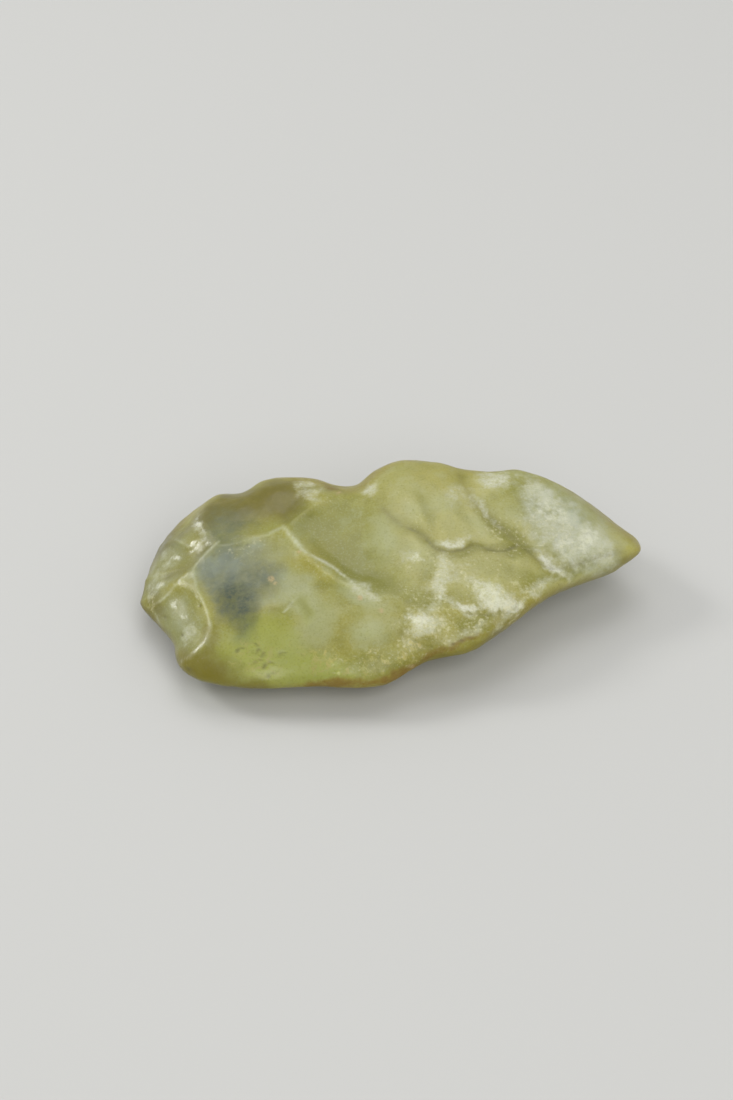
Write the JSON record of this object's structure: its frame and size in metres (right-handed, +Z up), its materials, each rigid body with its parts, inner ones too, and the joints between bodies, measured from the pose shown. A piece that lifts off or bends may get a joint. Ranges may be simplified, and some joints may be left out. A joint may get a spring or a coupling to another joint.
{
  "type": "desert glass stone",
  "caption": "Worn lump of cloudy yellow-green natural glass, blunt at one end and pointed at the other, with shallow flake scars and low swellings on its upper side.",
  "frame": {"origin": "under the middle of the stone's bounding box, on the surface it lies on", "axes": "+X along the stone to its pointed end, +Y from its front edge to its back, +Z up"},
  "size_m": [0.0608, 0.0328, 0.0137],
  "materials": {
    "natural_glass": "satin, frosted and wind-worn, polished in the flake scars"
  },
  "bodies": {
    "root": {"desert_glass": "natural_glass"}
  },
  "joints": []
}
